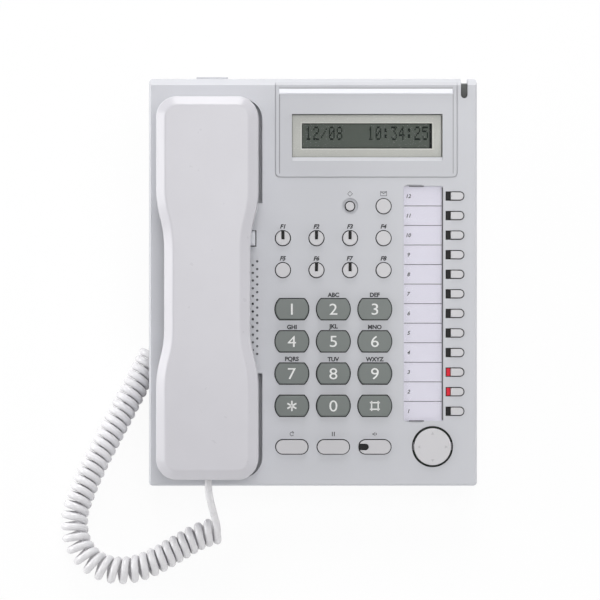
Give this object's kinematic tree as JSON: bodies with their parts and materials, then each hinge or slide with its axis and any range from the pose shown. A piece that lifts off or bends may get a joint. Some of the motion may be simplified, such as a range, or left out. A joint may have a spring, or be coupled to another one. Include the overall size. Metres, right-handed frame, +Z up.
{
  "type": "corded desk telephone",
  "caption": "Wedge-shaped desk telephone on a tilt stand: handset in its cradle, keypad, display, line keys with a label strip, and a curly cord lying on the table.",
  "frame": {"origin": "on the table, under the middle of the telephone's box without its cord", "axes": "+Z up, +Y to the rear where the case is highest, +X to the right of the keypad"},
  "size_m": [0.2444, 0.2906, 0.109],
  "materials": {
    "case": "satin",
    "bezel": "satin",
    "handset": "gloss",
    "key": "satin",
    "lamp": "gloss",
    "window": "gloss",
    "display": "gloss",
    "card": "satin",
    "cover": "gloss",
    "board": "satin",
    "mat": "satin",
    "speaker": "gloss",
    "cord": "gloss",
    "plug": "gloss",
    "rubber": "satin",
    "screw": "satin"
  },
  "bodies": {
    "base": {"upper_case": "case", "lower_case": "case", "display_bezel": "bezel", "display_window": "window", "lcd_module": "display", "lamp_lenses": "lamp", "label_card": "card", "main_board": "board", "key_mat": "mat", "loudspeaker": "speaker", "case_screws": "screw", "tilt_stand": "case", "rubber_feet": "rubber", "base_plug": "plug", "coiled_cord": "cord"},
    "handset": {"handset_outer_shell": "handset", "handset_inner_shell": "handset", "handset_capsules": "speaker", "handset_plug": "plug"},
    "hook": {"hook_switch": "case"},
    "cover": {"label_cover": "cover"},
    "rocker": {"navigator_rocker": "key"},
    "navigator": {"navigator_key": "key"},
    "program_key": {"program_key": "key"},
    "message_key": {"message_key": "key"},
    "intercom_key": {"intercom_key": "key"},
    "conference_key": {"conference_key": "key"},
    "forward_key": {"forward_key": "key"},
    "pause_key": {"pause_key": "key"},
    "flash_key": {"flash_key": "key"},
    "auto_answer_key": {"auto_answer_key": "key"},
    "auto_dial_key": {"auto_dial_key": "key"},
    "transfer_key": {"transfer_key": "key"},
    "dial_key_1": {"dial_key_1": "key"},
    "dial_key_2": {"dial_key_2": "key"},
    "dial_key_3": {"dial_key_3": "key"},
    "dial_key_4": {"dial_key_4": "key"},
    "dial_key_5": {"dial_key_5": "key"},
    "dial_key_6": {"dial_key_6": "key"},
    "dial_key_7": {"dial_key_7": "key"},
    "dial_key_8": {"dial_key_8": "key"},
    "dial_key_9": {"dial_key_9": "key"},
    "dial_key_star": {"dial_key_star": "key"},
    "dial_key_0": {"dial_key_0": "key"},
    "dial_key_hash": {"dial_key_hash": "key"},
    "redial_key": {"redial_key": "key"},
    "hold_key": {"hold_key": "key"},
    "speakerphone_key": {"speakerphone_key": "key"},
    "line_key_01": {"line_key_01": "key"},
    "line_key_02": {"line_key_02": "key"},
    "line_key_03": {"line_key_03": "key"},
    "line_key_04": {"line_key_04": "key"},
    "line_key_05": {"line_key_05": "key"},
    "line_key_06": {"line_key_06": "key"},
    "line_key_07": {"line_key_07": "key"},
    "line_key_08": {"line_key_08": "key"},
    "line_key_09": {"line_key_09": "key"},
    "line_key_10": {"line_key_10": "key"},
    "line_key_11": {"line_key_11": "key"},
    "line_key_12": {"line_key_12": "key"}
  },
  "joints": [
    {"name": "handset_lift", "type": "slide", "parent": "base", "child": "handset", "axis": [0, -0.2588, 0.9659], "range_m": [0, 0.075], "deforming": ["coiled_cord"]},
    {"name": "hook_switch_rise", "type": "slide", "parent": "base", "child": "hook", "axis": [0, -0.2588, 0.9659], "range_m": [0, 0.0042]},
    {"name": "label_cover_lift", "type": "slide", "parent": "base", "child": "cover", "axis": [0, -0.2588, 0.9659], "range_m": [0, 0.01]},
    {"name": "navigator_rock", "type": "hinge", "parent": "base", "child": "rocker", "pos_m": [0.0692, -0.09418, 0.02763], "axis": [1, 0, 0], "range_deg": [-3, 3], "stiffness_Nm_per_rad": 0.05},
    {"name": "navigator_roll", "type": "hinge", "parent": "rocker", "child": "navigator", "pos_m": [0.0692, -0.09418, 0.02763], "axis": [0, 0.9659, 0.2588], "range_deg": [-3, 3], "stiffness_Nm_per_rad": 0.05},
    {"name": "dial_key_5_press", "type": "slide", "parent": "base", "child": "dial_key_5", "axis": [0, 0.2588, -0.9659], "range_m": [0, 0.0012], "stiffness_N_per_m": 200, "springref_m": -0.002, "deforming": ["key_mat"]},
    {"name": "message_key_press", "type": "slide", "parent": "base", "child": "message_key", "axis": [0, 0.2588, -0.9659], "range_m": [0, 0.0012], "stiffness_N_per_m": 200, "springref_m": -0.002, "deforming": ["key_mat"]},
    {"name": "speakerphone_key_press", "type": "slide", "parent": "base", "child": "speakerphone_key", "axis": [0, 0.2588, -0.9659], "range_m": [0, 0.0012], "stiffness_N_per_m": 200, "springref_m": -0.002, "deforming": ["key_mat"]},
    {"name": "line_key_01_press", "type": "slide", "parent": "base", "child": "line_key_01", "axis": [0, 0.2588, -0.9659], "range_m": [0, 0.0012], "stiffness_N_per_m": 200, "springref_m": -0.002, "deforming": ["key_mat"]},
    {"name": "program_key_press", "type": "slide", "parent": "base", "child": "program_key", "axis": [0, 0.2588, -0.9659], "range_m": [0, 0.0012], "stiffness_N_per_m": 200, "springref_m": -0.002, "deforming": ["key_mat"]},
    {"name": "intercom_key_press", "type": "slide", "parent": "base", "child": "intercom_key", "axis": [0, 0.2588, -0.9659], "range_m": [0, 0.0012], "stiffness_N_per_m": 200, "springref_m": -0.002, "deforming": ["key_mat"]},
    {"name": "conference_key_press", "type": "slide", "parent": "base", "child": "conference_key", "axis": [0, 0.2588, -0.9659], "range_m": [0, 0.0012], "stiffness_N_per_m": 200, "springref_m": -0.002, "deforming": ["key_mat"]},
    {"name": "forward_key_press", "type": "slide", "parent": "base", "child": "forward_key", "axis": [0, 0.2588, -0.9659], "range_m": [0, 0.0012], "stiffness_N_per_m": 200, "springref_m": -0.002, "deforming": ["key_mat"]},
    {"name": "pause_key_press", "type": "slide", "parent": "base", "child": "pause_key", "axis": [0, 0.2588, -0.9659], "range_m": [0, 0.0012], "stiffness_N_per_m": 200, "springref_m": -0.002, "deforming": ["key_mat"]},
    {"name": "flash_key_press", "type": "slide", "parent": "base", "child": "flash_key", "axis": [0, 0.2588, -0.9659], "range_m": [0, 0.0012], "stiffness_N_per_m": 200, "springref_m": -0.002, "deforming": ["key_mat"]},
    {"name": "auto_answer_key_press", "type": "slide", "parent": "base", "child": "auto_answer_key", "axis": [0, 0.2588, -0.9659], "range_m": [0, 0.0012], "stiffness_N_per_m": 200, "springref_m": -0.002, "deforming": ["key_mat"]},
    {"name": "auto_dial_key_press", "type": "slide", "parent": "base", "child": "auto_dial_key", "axis": [0, 0.2588, -0.9659], "range_m": [0, 0.0012], "stiffness_N_per_m": 200, "springref_m": -0.002, "deforming": ["key_mat"]},
    {"name": "transfer_key_press", "type": "slide", "parent": "base", "child": "transfer_key", "axis": [0, 0.2588, -0.9659], "range_m": [0, 0.0012], "stiffness_N_per_m": 200, "springref_m": -0.002, "deforming": ["key_mat"]},
    {"name": "dial_key_1_press", "type": "slide", "parent": "base", "child": "dial_key_1", "axis": [0, 0.2588, -0.9659], "range_m": [0, 0.0012], "stiffness_N_per_m": 200, "springref_m": -0.002, "deforming": ["key_mat"]},
    {"name": "dial_key_2_press", "type": "slide", "parent": "base", "child": "dial_key_2", "axis": [0, 0.2588, -0.9659], "range_m": [0, 0.0012], "stiffness_N_per_m": 200, "springref_m": -0.002, "deforming": ["key_mat"]},
    {"name": "dial_key_3_press", "type": "slide", "parent": "base", "child": "dial_key_3", "axis": [0, 0.2588, -0.9659], "range_m": [0, 0.0012], "stiffness_N_per_m": 200, "springref_m": -0.002, "deforming": ["key_mat"]},
    {"name": "dial_key_4_press", "type": "slide", "parent": "base", "child": "dial_key_4", "axis": [0, 0.2588, -0.9659], "range_m": [0, 0.0012], "stiffness_N_per_m": 200, "springref_m": -0.002, "deforming": ["key_mat"]},
    {"name": "dial_key_6_press", "type": "slide", "parent": "base", "child": "dial_key_6", "axis": [0, 0.2588, -0.9659], "range_m": [0, 0.0012], "stiffness_N_per_m": 200, "springref_m": -0.002, "deforming": ["key_mat"]},
    {"name": "dial_key_7_press", "type": "slide", "parent": "base", "child": "dial_key_7", "axis": [0, 0.2588, -0.9659], "range_m": [0, 0.0012], "stiffness_N_per_m": 200, "springref_m": -0.002, "deforming": ["key_mat"]},
    {"name": "dial_key_8_press", "type": "slide", "parent": "base", "child": "dial_key_8", "axis": [0, 0.2588, -0.9659], "range_m": [0, 0.0012], "stiffness_N_per_m": 200, "springref_m": -0.002, "deforming": ["key_mat"]},
    {"name": "dial_key_9_press", "type": "slide", "parent": "base", "child": "dial_key_9", "axis": [0, 0.2588, -0.9659], "range_m": [0, 0.0012], "stiffness_N_per_m": 200, "springref_m": -0.002, "deforming": ["key_mat"]},
    {"name": "dial_key_star_press", "type": "slide", "parent": "base", "child": "dial_key_star", "axis": [0, 0.2588, -0.9659], "range_m": [0, 0.0012], "stiffness_N_per_m": 200, "springref_m": -0.002, "deforming": ["key_mat"]},
    {"name": "dial_key_0_press", "type": "slide", "parent": "base", "child": "dial_key_0", "axis": [0, 0.2588, -0.9659], "range_m": [0, 0.0012], "stiffness_N_per_m": 200, "springref_m": -0.002, "deforming": ["key_mat"]},
    {"name": "dial_key_hash_press", "type": "slide", "parent": "base", "child": "dial_key_hash", "axis": [0, 0.2588, -0.9659], "range_m": [0, 0.0012], "stiffness_N_per_m": 200, "springref_m": -0.002, "deforming": ["key_mat"]},
    {"name": "redial_key_press", "type": "slide", "parent": "base", "child": "redial_key", "axis": [0, 0.2588, -0.9659], "range_m": [0, 0.0012], "stiffness_N_per_m": 200, "springref_m": -0.002, "deforming": ["key_mat"]},
    {"name": "hold_key_press", "type": "slide", "parent": "base", "child": "hold_key", "axis": [0, 0.2588, -0.9659], "range_m": [0, 0.0012], "stiffness_N_per_m": 200, "springref_m": -0.002, "deforming": ["key_mat"]},
    {"name": "line_key_02_press", "type": "slide", "parent": "base", "child": "line_key_02", "axis": [0, 0.2588, -0.9659], "range_m": [0, 0.0012], "stiffness_N_per_m": 200, "springref_m": -0.002, "deforming": ["key_mat"]},
    {"name": "line_key_03_press", "type": "slide", "parent": "base", "child": "line_key_03", "axis": [0, 0.2588, -0.9659], "range_m": [0, 0.0012], "stiffness_N_per_m": 200, "springref_m": -0.002, "deforming": ["key_mat"]},
    {"name": "line_key_04_press", "type": "slide", "parent": "base", "child": "line_key_04", "axis": [0, 0.2588, -0.9659], "range_m": [0, 0.0012], "stiffness_N_per_m": 200, "springref_m": -0.002, "deforming": ["key_mat"]},
    {"name": "line_key_05_press", "type": "slide", "parent": "base", "child": "line_key_05", "axis": [0, 0.2588, -0.9659], "range_m": [0, 0.0012], "stiffness_N_per_m": 200, "springref_m": -0.002, "deforming": ["key_mat"]},
    {"name": "line_key_06_press", "type": "slide", "parent": "base", "child": "line_key_06", "axis": [0, 0.2588, -0.9659], "range_m": [0, 0.0012], "stiffness_N_per_m": 200, "springref_m": -0.002, "deforming": ["key_mat"]},
    {"name": "line_key_07_press", "type": "slide", "parent": "base", "child": "line_key_07", "axis": [0, 0.2588, -0.9659], "range_m": [0, 0.0012], "stiffness_N_per_m": 200, "springref_m": -0.002, "deforming": ["key_mat"]},
    {"name": "line_key_08_press", "type": "slide", "parent": "base", "child": "line_key_08", "axis": [0, 0.2588, -0.9659], "range_m": [0, 0.0012], "stiffness_N_per_m": 200, "springref_m": -0.002, "deforming": ["key_mat"]},
    {"name": "line_key_09_press", "type": "slide", "parent": "base", "child": "line_key_09", "axis": [0, 0.2588, -0.9659], "range_m": [0, 0.0012], "stiffness_N_per_m": 200, "springref_m": -0.002, "deforming": ["key_mat"]},
    {"name": "line_key_10_press", "type": "slide", "parent": "base", "child": "line_key_10", "axis": [0, 0.2588, -0.9659], "range_m": [0, 0.0012], "stiffness_N_per_m": 200, "springref_m": -0.002, "deforming": ["key_mat"]},
    {"name": "line_key_11_press", "type": "slide", "parent": "base", "child": "line_key_11", "axis": [0, 0.2588, -0.9659], "range_m": [0, 0.0012], "stiffness_N_per_m": 200, "springref_m": -0.002, "deforming": ["key_mat"]},
    {"name": "line_key_12_press", "type": "slide", "parent": "base", "child": "line_key_12", "axis": [0, 0.2588, -0.9659], "range_m": [0, 0.0012], "stiffness_N_per_m": 200, "springref_m": -0.002, "deforming": ["key_mat"]}
  ],
  "couplings": [
    {"joint": "hook_switch_rise", "follows": "handset_lift", "ratio": 0.056}
  ]
}
